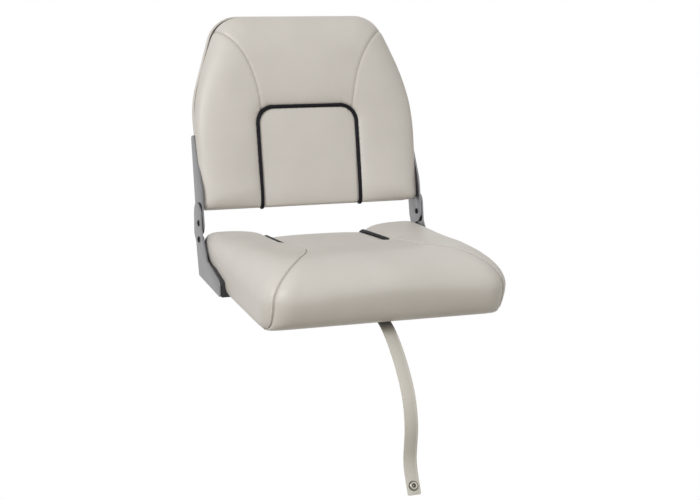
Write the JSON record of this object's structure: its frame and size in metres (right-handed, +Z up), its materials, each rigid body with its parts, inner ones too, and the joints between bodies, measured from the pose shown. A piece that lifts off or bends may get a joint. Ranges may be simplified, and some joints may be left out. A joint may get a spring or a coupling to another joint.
{
  "type": "folding boat seat",
  "caption": "Upholstered boat seat with piped vinyl cushions, a back that folds forward on side hinges, a ribbed base for a pedestal and a hold-down strap.",
  "frame": {"origin": "middle of the four-hole pedestal pattern, on the underside of the base", "axes": "+Z up, -Y towards the front of the seat, +X to the right of someone facing the seat"},
  "size_m": [0.4312, 0.6408, 0.7006],
  "materials": {
    "cover_vinyl": "satin grained marine vinyl",
    "piping_vinyl": "satin",
    "strap_vinyl": "satin grained marine vinyl",
    "shell_vinyl": "vinyl over moulded plastic",
    "foam": "open cell",
    "base_moulding": "moulded grain",
    "hinge_aluminium": "satin anodised",
    "rivet_steel": "polished",
    "screw_steel": "bright zinc",
    "washer_plastic": "plain",
    "insert_brass": "machined",
    "snap_nickel": "nickel plated"
  },
  "bodies": {
    "seat": {"seat_base": "base_moulding", "mount_inserts": "insert_brass", "hinge_bracket_left": "hinge_aluminium", "hinge_bracket_right": "hinge_aluminium", "pivot_rivets": "rivet_steel", "stop_pins": "rivet_steel", "pivot_washers": "washer_plastic", "base_screws": "screw_steel", "seat_foam": "foam", "seat_cover_centre": "cover_vinyl", "seat_cover_front": "cover_vinyl", "seat_cover_left": "cover_vinyl", "seat_cover_right": "cover_vinyl", "seat_piping": "piping_vinyl", "strap": "strap_vinyl", "strap_washer": "screw_steel", "snap_cap": "snap_nickel", "snap_socket": "snap_nickel"},
    "backrest": {"hinge_arm_left": "hinge_aluminium", "hinge_arm_right": "hinge_aluminium", "arm_screws": "screw_steel", "back_shell": "shell_vinyl", "back_foam": "foam", "back_cover_centre": "cover_vinyl", "back_cover_top": "cover_vinyl", "back_cover_left": "cover_vinyl", "back_cover_right": "cover_vinyl", "back_piping": "piping_vinyl", "snap_stud": "snap_nickel"}
  },
  "joints": [
    {"name": "backrest_fold", "type": "hinge", "parent": "seat", "child": "backrest", "pos_m": [0, 0.186, 0.097], "axis": [1, 0, 0], "range_deg": [0, 88]}
  ]
}
